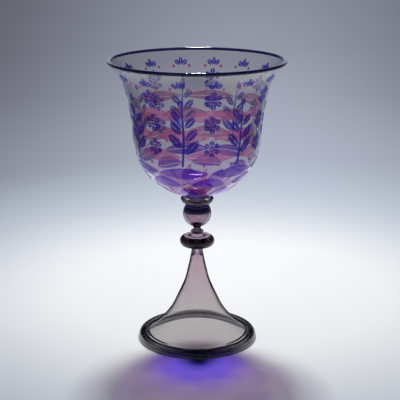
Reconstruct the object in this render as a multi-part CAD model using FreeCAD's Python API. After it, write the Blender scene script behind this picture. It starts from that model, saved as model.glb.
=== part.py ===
import FreeCAD, Part
import math
import os

# A tall blown glass goblet: a bell-shaped bowl with an overlay design, a stem of knops and a
# hollow trumpet foot with a rolled rim. Lengths are in millimetres. +Z is up, and the origin
# is on the table, on the goblet's axis. The pieces were joined hot, flat face to flat face.

# Foot: the base lip lies on the table, the roll lies on it, and the trumpet stands on the roll
foot_radius = 52.95
base_lip_height = 1.3
base_lip_overhang = 1.05
roll_crest_width = 7.0
roll_crest_rise = 1.2
roll_wall = 1.5
roll_bore_slant = 3.6
trumpet_seat_height = 4.7
trumpet_seat_width = 2.9
trumpet_height = 70.3
trumpet_wall = 1.6
trumpet_top_radius = 5.85

# Stem, from the foot up
plug_height = 9.4
plug_neck_radius = 4.9
plug_top_radius = 5.3
plug_bore_radius = 2.6
plug_bore_height = 8.9
plug_throat_height = 3.2
disc_radius = 15.2
disc_height = 9.8
disc_dish = 0.4
disc_bubble_radius = 12.8
disc_bubble_height = 2.0
disc_bubble_drop = 2.9
collar_height = 2.4
collar_radius = 5.4
bead_radius = 5.7
bead_height = 2.8
bead_seat_radius = 3.4
spool_height = 4.0
spool_waist_radius = 3.1
ball_radius = 12.3
ball_wall = 1.8
ball_crown = 7.2
ball_bottom_seat_radius = 4.4
ball_top_seat_radius = 9.2
saucer_radius = 14.2
saucer_height = 5.7
saucer_floor = 2.7
saucer_rim = 0.8
flange_height = 6.3
flange_radius = 9.6
flange_edge = 0.8
flange_stub_radius = 5.0
flange_neck_radius = 6.2
pad_height = 2.15
pad_radius = 13.2

# Bowl: its wall stands on the pad and ends in a seat for the lip's round thread
bowl_wall_height = 112.7
bowl_wall_thickness = 1.8
lip_radius = 74.6
lip_thread_radius = 1.5
lip_seat_drop = 1.1

# Overlay design: violet and rose glass on the bowl's outside, and rose clouds on its inside
overlay_thickness = 0.3
design_repeats = 7
frond_stem_width = 1.8
frond_leaf_width = 7.6
frond_leaf_pairs = 3
frond_leaf_rise = 46.0
frond_tip_leaf_length = 11.5
frond_tip_leaf_width = 5.0
frond_lean = 1.5
blossom_petals = 6
blossom_petal_width = 4.2
blossom_ring_radius = 2.4
blossom_heart_radius = 1.2
blossom_heart_gap = 0.3
sprigs_per_repeat = 2
sprig_leaf_length = 7.5
sprig_leaf_width = 3.4
sprig_leaf_spread = 50.0
wave_crests = (5.0, 7.0)
wave_bellies = (5.0, 2.6)
calyx_clearance = 1.4
cloud_crest = 6.5
cloud_belly = 4.0
dot_radius = 1.3
dots_per_repeat = 4

# Outlines as shares of the way out and shares of the way up
trumpet_shares = ((1.0, 0.0), (0.828, 0.071), (0.6415, 0.171), (0.444, 0.313), (0.278, 0.498),
                  (0.197, 0.597), (0.1178, 0.711), (0.0663, 0.825), (0.020, 0.939), (0.0, 1.0))
bowl_shares = ((0.0, 0.0), (0.109, 0.006), (0.173, 0.0177), (0.303, 0.0603), (0.381, 0.0967),
               (0.485, 0.157), (0.583, 0.242), (0.636, 0.331), (0.663, 0.446), (0.688, 0.579),
               (0.726, 0.7125), (0.780, 0.828), (0.8395, 0.9015), (0.913, 0.952), (1.0, 1.0))
saucer_under_shares = ((0.0, 0.0), (0.42, 0.19), (0.80, 0.56), (1.0, 1.0))
saucer_inside_shares = ((0.0, 0.0), (0.40, 0.07), (0.76, 0.40), (1.0, 1.0))
pad_shares = ((0.0, 0.0), (0.55, 0.30), (1.0, 1.0))

# The design's places as shares of the bowl wall's height
frond_foot_share = 0.302
frond_top_share = 0.745
blossom_height_shares = (0.44, 0.62, 0.80)
sprig_height_share = 0.887
wave_height_shares = (0.244, 0.1375)
calyx_tip_share = 0.108
cloud_height_shares = (0.37, 0.52, 0.67)
dot_height_shares = (0.315, 0.887)

# The design's reach round the bowl as shares of one repeat
leaf_reach_share = 0.59
blossom_reach_share = 0.30
wave_reach_shares = (0.972, 0.795)
cloud_reach_share = 0.93
violet_petal_share = 0.72
rose_petal_share = 0.20

# A leaf spray's steps as shares of the step from one pair of leaves to the next
leaf_first_share = 0.8
leaf_step_share = 0.6
leaf_taper_share = 0.45
leaf_stagger_share = 0.5
tip_leaf_share = 0.92
stem_tip_share = 0.3

# Radii of the foot's rings, from the outside in
roll_outer_radius = foot_radius - base_lip_overhang
trumpet_seat_radius = roll_outer_radius - roll_crest_width
roll_inner_radius = trumpet_seat_radius - trumpet_seat_width
base_lip_bore_radius = roll_inner_radius + roll_bore_slant

# Heights of the hot joints above the table
trumpet_z = base_lip_height + trumpet_seat_height
plug_z = trumpet_z + trumpet_height
disc_z = plug_z + plug_height
collar_z = disc_z + disc_height - 2 * disc_dish
bead_z = collar_z + collar_height
spool_z = bead_z + bead_height
ball_z = spool_z + spool_height
ball_centre_z = ball_z + math.sqrt(ball_radius ** 2 - ball_bottom_seat_radius ** 2)
saucer_z = ball_centre_z + math.sqrt(ball_radius ** 2 - ball_top_seat_radius ** 2)
flange_z = saucer_z + saucer_floor
pad_z = flange_z + flange_height
bowl_z = pad_z + pad_height
lip_seat_z = bowl_z + bowl_wall_height
lip_z = lip_seat_z + lip_seat_drop
lip_seat_half_width = math.sqrt(lip_thread_radius ** 2 - lip_seat_drop ** 2)

# Heights of the leaf sprays above the bowl's seat
frond_foot_height = bowl_wall_height * frond_foot_share
frond_height = bowl_wall_height * (frond_top_share - frond_foot_share)

# Half of one repeat, as an angle
half_repeat = math.pi / design_repeats

parts_folder = "parts"
full_turn = 360.0
axis_point = FreeCAD.Vector(0, 0, 0)
up = FreeCAD.Vector(0, 0, 1)


def at(radius, height):
    return FreeCAD.Vector(radius, 0, height)


def line(start, end):
    return Part.makeLine(start, end)


def arc(start, middle, end):
    return Part.Arc(start, middle, end).toShape()


def dome(rim, crown):
    """The arc from a point beside the axis to a crown or a bottom on the axis, level there."""
    rise = crown.z - rim.z
    radius = (rim.x ** 2 + rise ** 2) / (2 * rise)
    angle = math.asin(rim.x / abs(radius)) / 2
    haunch = at(abs(radius) * math.sin(angle), crown.z - radius * (1 - math.cos(angle)))
    return arc(rim, haunch, crown)


def spline(points):
    curve = Part.BSplineCurve()
    curve.interpolate(points)
    return curve.toShape()


def turned(edges):
    """A solid turned about the goblet's axis from the edges of its half section."""
    section = Part.Face(Part.Wire(Part.__sortEdges__(edges)))
    return section.revolve(axis_point, up, full_turn)


def between(start, end, shares):
    """Points from one corner to another, each by its shares of the way out and up."""
    reach = end - start
    return [at(start.x + reach.x * out, start.z + reach.z * rise) for out, rise in shares]


def beside(points, distance, level_start=False, level_end=False):
    """An outline beside another, on its left, with level ends where the piece is cut flat."""
    curve = Part.BSplineCurve()
    curve.interpolate(points)
    level = {0: level_start, len(points) - 1: level_end}
    result = []
    for index, point in enumerate(points):
        tangent = curve.tangent(curve.parameter(point))[0]
        normal = FreeCAD.Vector(-tangent.z, 0, tangent.x)
        if level.get(index):
            result.append(at(point.x + distance / normal.x, point.z))
        else:
            result.append(point + normal * distance)
    return result


# Foot

def foot_base_lip():
    """A flat ring with a rounded outer edge."""
    half = base_lip_height / 2
    edge = foot_radius - half
    bore = base_lip_bore_radius
    return turned([
        line(at(bore, 0), at(edge, 0)),
        arc(at(edge, 0), at(foot_radius, half), at(edge, base_lip_height)),
        line(at(edge, base_lip_height), at(bore, base_lip_height)),
        line(at(bore, base_lip_height), at(bore, 0))])


def roll_section(inset):
    """The roll's outline: round outside, a seat for the trumpet, a slanted inner side."""
    seat_z = trumpet_z - inset
    low = base_lip_height + inset
    high = trumpet_z + roll_crest_rise - inset
    outer_bottom = at(roll_outer_radius - roll_crest_width / 3 - inset / 2, low)
    outer_middle = at(roll_outer_radius - inset, (low + high) / 2)
    crest = at(trumpet_seat_radius + roll_crest_width / 2, high)
    seat_outer = at(trumpet_seat_radius + inset / 2, seat_z)
    seat_inner = at(roll_inner_radius + 2 * inset, seat_z)
    inner_bottom = at(base_lip_bore_radius + inset, low)
    return [line(inner_bottom, outer_bottom),
            spline([outer_bottom, outer_middle, crest, seat_outer]),
            line(seat_outer, seat_inner), line(seat_inner, inner_bottom)]


def foot_roll():
    return turned(roll_section(0)).cut(turned(roll_section(roll_wall)))


def trumpet_foot():
    outside = between(at(trumpet_top_radius, trumpet_z), at(trumpet_seat_radius, plug_z),
                      trumpet_shares)
    inside = beside(outside, trumpet_wall, level_start=True, level_end=True)
    return turned([spline(outside), line(outside[-1], inside[-1]), spline(inside),
                   line(inside[0], outside[0])])


# Stem

def stacked(low, side, high):
    """A solid turned piece with flat ends between the axis and the ends of its side."""
    return turned([line(at(0, low.z), low), *side, line(high, at(0, high.z)),
                   line(at(0, high.z), at(0, low.z))])


def foot_plug():
    """The thick end of the stem under the disc. The foot's hollow runs up into it and narrows to
    a bore with a domed end."""
    low = at(trumpet_top_radius, plug_z)
    neck = at(plug_neck_radius, plug_z + plug_height * 2 / 3)
    high = at(plug_top_radius, disc_z)
    mouth = at(trumpet_top_radius - trumpet_wall, plug_z)
    throat = at(plug_bore_radius, plug_z + plug_throat_height)
    crown = at(0, plug_z + plug_bore_height)
    shoulder = at(plug_bore_radius, crown.z - plug_bore_radius / 2)
    bore = turned([line(mouth, throat), line(throat, shoulder), dome(shoulder, crown),
                   line(crown, at(0, plug_z)), line(at(0, plug_z), mouth)])
    return stacked(low, [spline([low, neck, high])], high).cut(bore)


def disc_knop():
    """A thick rounded disc, dished a little above and below, with a flat bubble low inside."""
    bottom = disc_z - disc_dish
    top = bottom + disc_height
    crest_radius = disc_radius - disc_height / 2
    low = at(plug_top_radius, disc_z)
    high = at(collar_radius, collar_z)
    outer = at(disc_radius, (bottom + top) / 2)
    low_crest = at(crest_radius, bottom)
    high_crest = at(crest_radius, top)
    side = [line(low, low_crest), arc(low_crest, outer, high_crest), line(high_crest, high)]
    rim = at(disc_bubble_radius, outer.z - disc_bubble_drop)
    under = at(0, rim.z - disc_bubble_height / 2)
    over = at(0, rim.z + disc_bubble_height / 2)
    bubble = turned([dome(rim, under), dome(rim, over), line(under, over)])
    return stacked(low, side, high).cut(bubble)


def disc_collar():
    low = at(collar_radius, collar_z)
    middle = at(bead_seat_radius, collar_z + collar_height / 2)
    high = at(bead_seat_radius, bead_z)
    return stacked(low, [spline([low, middle, high])], high)


def neck_bead():
    low = at(bead_seat_radius, bead_z)
    outer = at(bead_radius, bead_z + bead_height / 2)
    high = at(bead_seat_radius, spool_z)
    return stacked(low, [arc(low, outer, high)], high)


def neck_spool():
    low = at(bead_seat_radius, spool_z)
    waist = at(spool_waist_radius, spool_z + spool_height / 4)
    high = at(ball_bottom_seat_radius, ball_z)
    return stacked(low, [spline([low, waist, high])], high)


def ball_knop():
    """A blown ball, flat where the spool and the saucer join it. Its bubble fills the lower part
    and ends flat under a thick crown."""
    low = at(ball_bottom_seat_radius, ball_z)
    middle = at(ball_radius, ball_centre_z)
    high = at(ball_top_seat_radius, saucer_z)
    outside = stacked(low, [arc(low, middle, high)], high)
    bubble_radius = ball_radius - ball_wall
    crown_rise = saucer_z - ball_crown - ball_centre_z
    bottom = at(0, ball_centre_z - bubble_radius)
    crown = at(math.sqrt(bubble_radius ** 2 - crown_rise ** 2), ball_centre_z + crown_rise)
    crown_axis = at(0, crown.z)
    bubble = turned([arc(bottom, at(bubble_radius, ball_centre_z), crown),
                     line(crown, crown_axis), line(crown_axis, bottom)])
    return outside.cut(bubble)


def saucer_merese():
    """An upturned saucer: its floor lies on the ball and carries the neck."""
    rim_z = saucer_z + saucer_height
    low = at(ball_top_seat_radius, saucer_z)
    rim_outside = at(saucer_radius, rim_z - saucer_rim)
    rim_top = at(saucer_radius - saucer_rim / 2, rim_z)
    rim_inside = at(saucer_radius - saucer_rim, rim_z - saucer_rim)
    high = at(flange_stub_radius, flange_z)
    side = [spline(between(low, rim_outside, saucer_under_shares)),
            arc(rim_outside, rim_top, rim_inside),
            spline(between(high, rim_inside, saucer_inside_shares))]
    return stacked(low, side, high)


def neck_flange():
    """A short neck with a thin flange that hangs over the saucer."""
    edge_z = flange_z + flange_height / 2
    low = at(flange_stub_radius, flange_z)
    under_edge = at(flange_radius - flange_edge / 2, edge_z)
    edge = at(flange_radius, edge_z + flange_edge / 2)
    over_edge = at(flange_radius - flange_edge / 2, edge_z + flange_edge)
    under = at(flange_stub_radius + flange_edge / 2, edge_z - 2 * flange_edge)
    over = at(flange_neck_radius + flange_edge / 2, edge_z + 2 * flange_edge)
    high = at(flange_neck_radius, pad_z)
    side = [spline([low, under, under_edge]), arc(under_edge, edge, over_edge),
            spline([over_edge, over, high])]
    return stacked(low, side, high)


def bowl_base_pad():
    low = at(flange_neck_radius, pad_z)
    high = at(pad_radius, bowl_z)
    return stacked(low, [spline(between(low, high, pad_shares))], high)


# Bowl

def bowl_outline():
    return between(at(pad_radius, bowl_z), at(lip_radius + lip_seat_half_width, lip_seat_z),
                   bowl_shares)


def bowl_radius(height):
    """The bowl's outside radius at a height above its seat."""
    for low, high in zip(bowl_outline(), bowl_outline()[1:]):
        if low.z <= bowl_z + height <= high.z:
            rise = (bowl_z + height - low.z) / (high.z - low.z)
            return low.x + (high.x - low.x) * rise


def bowl_inside():
    points = beside(bowl_outline(), bowl_wall_thickness)
    points[-1] = at(lip_radius - lip_seat_half_width, lip_seat_z)
    return points


def bowl_wall():
    outside = bowl_outline()
    inside = bowl_inside()
    low = at(0, bowl_z)
    high = at(0, inside[0].z)
    return turned([line(low, outside[0]), spline(outside), line(outside[-1], inside[-1]),
                   spline(inside), line(inside[0], high), line(high, low)])


def lip_wrap():
    """The round thread of glass on the bowl's edge, flat where it sits on the wall."""
    inner = at(lip_radius - lip_seat_half_width, lip_seat_z)
    outer = at(lip_radius + lip_seat_half_width, lip_seat_z)
    top = at(lip_radius, lip_z + lip_thread_radius)
    return turned([line(inner, outer), arc(outer, top, inner)])


# Overlay design: flat outlines cut out of a thin skin on the bowl's outside or inside

def skin_between(first, second):
    return turned([spline(first), line(first[-1], second[-1]), spline(second),
                   line(second[0], first[0])])


def outer_skin():
    wall_side = bowl_outline()
    return skin_between(wall_side, beside(wall_side, -overlay_thickness, level_end=True))


def inner_skin():
    wall_side = bowl_inside()
    air_side = beside(bowl_outline(), bowl_wall_thickness + overlay_thickness)
    air_side[-1] = wall_side[-1] - at(overlay_thickness, 0)
    return skin_between(wall_side, air_side)


def on_front(across, height):
    """A point of a flat outline, by its place across and its height above the bowl's seat."""
    return FreeCAD.Vector(0, across, bowl_z + height)


def plate(edges):
    """A thick plate from a flat outline, pushed out through the bowl's wall."""
    face = Part.Face(Part.Wire(Part.__sortEdges__(edges)))
    return face.extrude(at(lip_radius + lip_thread_radius, 0))


def lens(start, end, near_bulge, far_bulge):
    """A pointed shape between two points: two arcs that bulge to its left and right."""
    middle = (start + end) / 2
    along = (end - start).normalize()
    across = FreeCAD.Vector(0, -along.z, along.y)
    return plate([arc(start, middle + across * near_bulge, end),
                  arc(start, middle - across * far_bulge, end)])


def leaf(base, length, width, rise):
    angle = math.radians(rise)
    tip = base + FreeCAD.Vector(0, math.cos(angle), math.sin(angle)) * length
    return lens(base, tip, width / 2, width / 2)


def repeated(solids, half_step=False, count=design_repeats):
    """Copies of some solids round the bowl, on the steps or half way between them."""
    step = full_turn / count
    start = step / 2 if half_step else 0
    copies = []
    for turn in range(count):
        for solid in solids:
            copy = solid.copy()
            copy.rotate(axis_point, up, start + turn * step)
            copies.append(copy)
    return Part.makeCompound(copies)


def frond_stem():
    half = frond_stem_width / 2
    tip_half = half * stem_tip_share
    middle = frond_foot_height + frond_height / 2
    top = frond_foot_height + frond_height
    left_foot, right_foot = on_front(-half, frond_foot_height), on_front(half, frond_foot_height)
    left_tip, right_tip = on_front(-tip_half, top), on_front(tip_half, top)
    return plate([line(left_foot, right_foot),
                  arc(right_foot, on_front(frond_lean + half, middle), right_tip),
                  line(right_tip, left_tip),
                  arc(left_tip, on_front(frond_lean - half, middle), left_foot)])


def frond_point(share):
    """A point on the stem's middle line, by its share of the way up."""
    across = frond_lean * 4 * share * (1 - share)
    return on_front(across, frond_foot_height + frond_height * share)


def half_width(height):
    """Half of one repeat's width at a height, straight across."""
    return bowl_radius(height) * math.sin(half_repeat)


def violet_fronds(skin):
    """Leaf sprays: a leaning stem with pairs of leaves that shorten towards a leaf at the tip."""
    reach = half_width(frond_foot_height + frond_height / 2) * leaf_reach_share
    leaf_length = reach / math.cos(math.radians(frond_leaf_rise))
    pieces = [frond_stem(),
              leaf(frond_point(tip_leaf_share), frond_tip_leaf_length, frond_tip_leaf_width,
                   full_turn / 4)]
    for pair in range(frond_leaf_pairs):
        for side in (0, 1):
            steps = pair + leaf_first_share + side * leaf_stagger_share
            share = steps / (frond_leaf_pairs + leaf_first_share + leaf_step_share)
            size = 1 - leaf_taper_share * share
            rise = full_turn / 2 - frond_leaf_rise if side else frond_leaf_rise
            pieces.append(leaf(frond_point(share), leaf_length * size, frond_leaf_width * size,
                               rise))
    spray = pieces[0].multiFuse(pieces[1:]).common(skin)
    return repeated(spray.Solids)


def disc_plate(height, radius):
    return plate([Part.Circle(on_front(0, height), at(1, 0), radius).toShape()])


def blossom(height):
    """A ring with petals, open in its middle for the rose heart."""
    pieces = [disc_plate(height, blossom_ring_radius)]
    reach = half_width(height) * blossom_reach_share
    for petal in range(blossom_petals):
        rise = full_turn / 4 + petal * full_turn / blossom_petals
        pieces.append(leaf(on_front(0, height), reach, blossom_petal_width, rise))
    flower = pieces[0].multiFuse(pieces[1:])
    return flower.cut(disc_plate(height, blossom_heart_radius + blossom_heart_gap))


def violet_blossoms(skin):
    solids = []
    for share in blossom_height_shares:
        solids += blossom(bowl_wall_height * share).common(skin).Solids
    return repeated(solids, half_step=True)


def violet_sprigs(skin):
    """Small sprigs of three leaves near the mouth."""
    foot = on_front(0, bowl_wall_height * sprig_height_share)
    leaves = [leaf(foot, sprig_leaf_length, sprig_leaf_width, full_turn / 4 + turn)
              for turn in (-sprig_leaf_spread, 0, sprig_leaf_spread)]
    sprig = leaves[0].multiFuse(leaves[1:]).common(skin)
    return repeated(sprig.Solids, count=design_repeats * sprigs_per_repeat)


def band(height, reach_share, crest, belly):
    """A pointed band that lies along the bowl."""
    reach = bowl_radius(height) * math.sin(half_repeat * reach_share)
    return lens(on_front(-reach, height), on_front(reach, height), crest, belly)


def violet_waves(skin):
    """Two rows of broad bands that roll round the bowl's lower part."""
    rows = []
    for row, share in enumerate(wave_height_shares):
        wave = band(bowl_wall_height * share, wave_reach_shares[row], wave_crests[row],
                    wave_bellies[row])
        rows.append(repeated(wave.common(skin).Solids, half_step=bool(row)))
    return Part.makeCompound(rows)


def calyx_petal(skin, width_share):
    """A pointed petal that lies under the bowl, from beside its pad outwards."""
    start = at(pad_radius + calyx_clearance, 0)
    end = at(bowl_radius(bowl_wall_height * calyx_tip_share), 0)
    middle = (start + end) / 2
    bulge = FreeCAD.Vector(0, middle.x * half_repeat * width_share, 0)
    outline = Part.Wire([arc(start, middle + bulge, end), arc(end, middle - bulge, start)])
    outline.translate(at(0, bowl_z - overlay_thickness))
    return Part.Face(outline).extrude(at(0, bowl_wall_height)).common(skin).Solids


def violet_calyx(skin):
    return repeated(calyx_petal(skin, violet_petal_share))


def rose_calyx(skin):
    return repeated(calyx_petal(skin, rose_petal_share), half_step=True)


def rose_clouds(skin):
    """Three rows of broad bands, every other one set half a step on."""
    rows = []
    for row, share in enumerate(cloud_height_shares):
        cloud = band(bowl_wall_height * share, cloud_reach_share, cloud_crest, cloud_belly)
        rows.append(repeated(cloud.common(skin).Solids, half_step=row % 2 == 0))
    return Part.makeCompound(rows)


def rose_dots(skin):
    """Rows of drops, and the hearts of the blossoms."""
    drops = []
    for share in dot_height_shares:
        drops += disc_plate(bowl_wall_height * share, dot_radius).common(skin).Solids
    hearts = []
    for share in blossom_height_shares:
        hearts += disc_plate(bowl_wall_height * share, blossom_heart_radius).common(skin).Solids
    ring_count = design_repeats * dots_per_repeat
    return Part.makeCompound([repeated(drops, half_step=True, count=ring_count),
                              repeated(hearts, half_step=True)])


def main():
    os.makedirs(parts_folder, exist_ok=True)
    turned_pieces = (foot_base_lip, foot_roll, trumpet_foot, foot_plug, disc_knop, disc_collar,
                     neck_bead, neck_spool, ball_knop, saucer_merese, neck_flange, bowl_base_pad,
                     bowl_wall, lip_wrap)
    outside_design = (violet_fronds, violet_blossoms, violet_sprigs, violet_waves, violet_calyx,
                      rose_calyx, rose_dots)
    skin = outer_skin()
    shapes = {make.__name__: make() for make in turned_pieces}
    shapes.update({make.__name__: make(skin) for make in outside_design})
    shapes["rose_clouds"] = rose_clouds(inner_skin())
    for name, shape in shapes.items():
        shape.exportStep(os.path.join(parts_folder, name + ".step"))
        print(name, "solids", len(shape.Solids), "valid", shape.isValid(),
              "volume", round(shape.Volume))


main()
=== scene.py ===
import math

import bpy
import numpy as np
from mathutils import Matrix, Vector


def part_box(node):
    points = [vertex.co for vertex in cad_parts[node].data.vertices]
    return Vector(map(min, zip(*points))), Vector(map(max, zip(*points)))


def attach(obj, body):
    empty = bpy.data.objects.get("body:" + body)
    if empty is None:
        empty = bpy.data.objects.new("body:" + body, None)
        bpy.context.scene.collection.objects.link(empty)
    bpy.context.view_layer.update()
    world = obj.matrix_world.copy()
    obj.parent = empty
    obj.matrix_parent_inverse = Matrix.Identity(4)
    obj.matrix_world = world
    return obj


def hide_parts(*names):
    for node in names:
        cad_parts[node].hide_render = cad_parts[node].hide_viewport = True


# A blown glass goblet with a leaf and wave design in overlay glass, on a pale studio floor.
# Sizes of the turned pieces are in millimetres and become metres as the pieces are made.

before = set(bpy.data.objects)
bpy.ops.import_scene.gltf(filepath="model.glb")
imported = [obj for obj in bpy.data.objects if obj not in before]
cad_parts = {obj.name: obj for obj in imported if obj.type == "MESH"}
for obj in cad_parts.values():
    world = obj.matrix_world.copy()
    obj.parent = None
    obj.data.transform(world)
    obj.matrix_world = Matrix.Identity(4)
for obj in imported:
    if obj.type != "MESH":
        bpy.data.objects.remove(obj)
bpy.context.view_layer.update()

mm = 0.001
full_circle = 2 * math.pi
bowl_segments = 256
foot_segments = 192
stem_segments = 128
weld_distance = 0.002 * mm
crisp_angle = math.radians(35)

# Camera, fitted to the photograph
camera_place = (0.0025, -0.9608, 0.3909)
camera_pitch = math.radians(15.37)
camera_lens = 102.93
camera_sensor = 36.0

# Glass
glass_ior = 1.5

# Walls of the hollow pieces
bowl_wall_thickness = 1.8
trumpet_wall = 1.6
roll_wall = 1.5
disc_bubble_radius = 12.8
disc_bubble_height = 2.0
disc_bubble_drop = 2.9
ball_wall = 1.8
ball_crown = 7.2
plug_bore_radius = 2.6
plug_bore_height = 8.9
plug_throat_height = 3.2

# Overlay design: its sizes, then its places as shares of the bowl wall's height, and its reach
# round the bowl as shares of one repeat
overlay_gap = 0.03
overlay_thickness = 0.3
overlay_cell = 1.5
cut_line = 0.5
design_repeats = 7
half_repeat = math.pi / design_repeats
frond_stem_width = 1.8
frond_leaf_width = 7.6
frond_leaf_pairs = 3
frond_leaf_rise = 46.0
frond_tip_leaf_length = 11.5
frond_tip_leaf_width = 5.0
frond_tip_start_share = 0.3
frond_tip_end_share = 0.6
frond_tip_narrowing = 0.7
frond_first_leaf = 0.8
frond_leaf_stagger = 0.5
frond_leaf_room = 1.4
frond_leaf_taper = 0.45
frond_lean = 1.5
blossom_petals = 6
blossom_petal_width = 4.2
blossom_ring_radius = 2.4
blossom_heart_radius = 1.2
blossom_heart_gap = 0.3
sprigs_per_repeat = 2
sprig_leaf_length = 7.5
sprig_leaf_width = 3.4
sprig_leaf_spread = 50.0
sprig_side_start = 0.022
wave_crests = (5.0, 7.0)
wave_bellies = (5.0, 2.6)
calyx_clearance = 1.4
cloud_crest = 6.5
cloud_belly = 4.0
dot_radius = 1.3
dots_per_repeat = 4
drop_corners = 24
lens_least_corners = 16
lens_corners_per_cell = 1.5
frond_foot_share = 0.302
frond_top_share = 0.745
blossom_height_shares = (0.44, 0.62, 0.80)
sprig_height_share = 0.887
wave_height_shares = (0.244, 0.1375)
calyx_tip_share = 0.108
cloud_height_shares = (0.37, 0.52, 0.67)
dot_height_shares = (0.315, 0.887)
leaf_reach_share = 0.59
blossom_reach_share = 0.30
wave_reach_shares = (0.972, 0.795)
cloud_reach_share = 0.93
violet_petal_share = 0.72
rose_petal_share = 0.20


def span(node):
    """A CAD node's outer radius, lowest and highest level, in millimetres."""
    low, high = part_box(node)
    return high.x / mm, low.z / mm, high.z / mm


# Levels of the hot joints, read from the frame
base_lip_radius, table_level, roll_level = span("foot_base_lip")
roll_outer_radius, _, roll_top = span("foot_roll")
trumpet_seat_radius, trumpet_level, plug_level = span("trumpet_foot")
trumpet_top_radius, _, disc_level = span("foot_plug")
disc_radius, disc_bottom, disc_top = span("disc_knop")
collar_radius, collar_level, bead_level = span("disc_collar")
bead_radius, _, spool_level = span("neck_bead")
ball_bottom_seat_radius, _, ball_level = span("neck_spool")
ball_radius, _, saucer_level = span("ball_knop")
saucer_radius, _, saucer_top = span("saucer_merese")
flange_radius, flange_level, pad_level = span("neck_flange")
pad_radius, _, bowl_level = span("bowl_base_pad")
bowl_top_radius, _, lip_seat_level = span("bowl_wall")
lip_outer_radius, _, lip_top = span("lip_wrap")

# Radii that the boxes don't show
base_lip_bore_radius = 45.6
roll_inner_radius = 42.0
plug_neck_radius = 4.9
plug_top_radius = 5.3
bead_seat_radius = 3.4
spool_waist_radius = 3.1
ball_top_seat_radius = 9.2
saucer_rim = 0.8
bead_core_radius = 2.7
core_inset = 0.05
pad_skin = 0.7
flange_edge = 0.8
flange_stub_radius = 5.0
flange_neck_radius = 6.2
flange_middle = (flange_level + pad_level) / 2
lip_thread_radius = 1.5
lip_radius = lip_outer_radius - lip_thread_radius
lip_centre_level = lip_top - lip_thread_radius
lip_seat_half_width = math.sqrt(lip_thread_radius ** 2 - (lip_centre_level - lip_seat_level) ** 2)

# Outlines as shares of the way out and shares of the way up
trumpet_shares = ((1.0, 0.0), (0.828, 0.071), (0.6415, 0.171), (0.444, 0.313), (0.278, 0.498),
                  (0.197, 0.597), (0.1178, 0.711), (0.0663, 0.825), (0.020, 0.939), (0.0, 1.0))
bowl_shares = ((0.0, 0.0), (0.109, 0.006), (0.173, 0.0177), (0.303, 0.0603), (0.381, 0.0967),
               (0.485, 0.157), (0.583, 0.242), (0.636, 0.331), (0.663, 0.446), (0.688, 0.579),
               (0.726, 0.7125), (0.780, 0.828), (0.8395, 0.9015), (0.913, 0.952), (1.0, 1.0))
saucer_under_shares = ((0.0, 0.0), (0.42, 0.19), (0.80, 0.56), (1.0, 1.0))
saucer_inside_shares = ((0.0, 0.0), (0.40, 0.07), (0.76, 0.40), (1.0, 1.0))
pad_shares = ((0.0, 0.0), (0.55, 0.30), (1.0, 1.0))


# Outlines

def between(start, end, shares):
    """Points from one corner to another, each by its shares of the way out and up."""
    (r0, z0), (r1, z1) = start, end
    return [(r0 + (r1 - r0) * out, z0 + (z1 - z0) * rise) for out, rise in shares]


def smooth(points, count):
    """Points on the smooth line through some points: a cubic spline by chord length."""
    p = np.array(points, float)
    steps = np.linalg.norm(np.diff(p, axis=0), axis=1)
    knots = np.concatenate(([0.0], np.cumsum(steps)))
    size = len(p)
    matrix = np.eye(size)
    right = np.zeros_like(p)
    slopes = np.diff(p, axis=0) / steps[:, None]
    for i in range(1, size - 1):
        matrix[i, i - 1:i + 2] = steps[i - 1], 2 * (steps[i - 1] + steps[i]), steps[i]
        right[i] = 6 * (slopes[i] - slopes[i - 1])
    bend = np.linalg.solve(matrix, right)
    result = []
    for t in np.linspace(0, knots[-1], count + 1):
        i = min(int(np.searchsorted(knots, t, side="right")) - 1, size - 2)
        h, a, b = steps[i], knots[i + 1] - t, t - knots[i]
        point = (bend[i] * a ** 3 + bend[i + 1] * b ** 3) / (6 * h)
        point += (p[i] / h - bend[i] * h / 6) * a + (p[i + 1] / h - bend[i + 1] * h / 6) * b
        result.append((float(point[0]), float(point[1])))
    return result


def arc(centre, radius, start, end, count):
    """Points on an arc of a circle, its angles in degrees from the outward direction."""
    angles = [math.radians(start + (end - start) * i / count) for i in range(count + 1)]
    return [(centre[0] + radius * math.cos(a), centre[1] + radius * math.sin(a)) for a in angles]


def beside(line, distance):
    """A line beside another, on its left."""
    p = np.array(line, float)
    tangent = np.gradient(p, axis=0)
    tangent /= np.linalg.norm(tangent, axis=1)[:, None]
    normal = np.stack([-tangent[:, 1], tangent[:, 0]], axis=1)
    return [tuple(point) for point in (p + normal * distance).tolist()]


# Turning

joint_rings = {}


def deselect():
    bpy.ops.object.select_all(action="DESELECT")


def edit_all():
    """Opens the active piece for editing, with all of it selected."""
    bpy.ops.object.mode_set(mode="EDIT")
    bpy.ops.mesh.select_all(action="SELECT")


def edit_done():
    bpy.ops.object.mode_set(mode="OBJECT")


def apply_place():
    """Moves the selected pieces' places, turns and sizes into their meshes."""
    bpy.ops.object.transform_apply(location=True, rotation=True, scale=True)


def alone(piece):
    """Makes a piece the only one selected."""
    deselect()
    piece.select_set(True)
    bpy.context.view_layer.objects.active = piece


def joined(pieces):
    deselect()
    for piece in pieces:
        piece.select_set(True)
    bpy.context.view_layer.objects.active = pieces[0]
    bpy.ops.object.join()
    return pieces[0]


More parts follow.
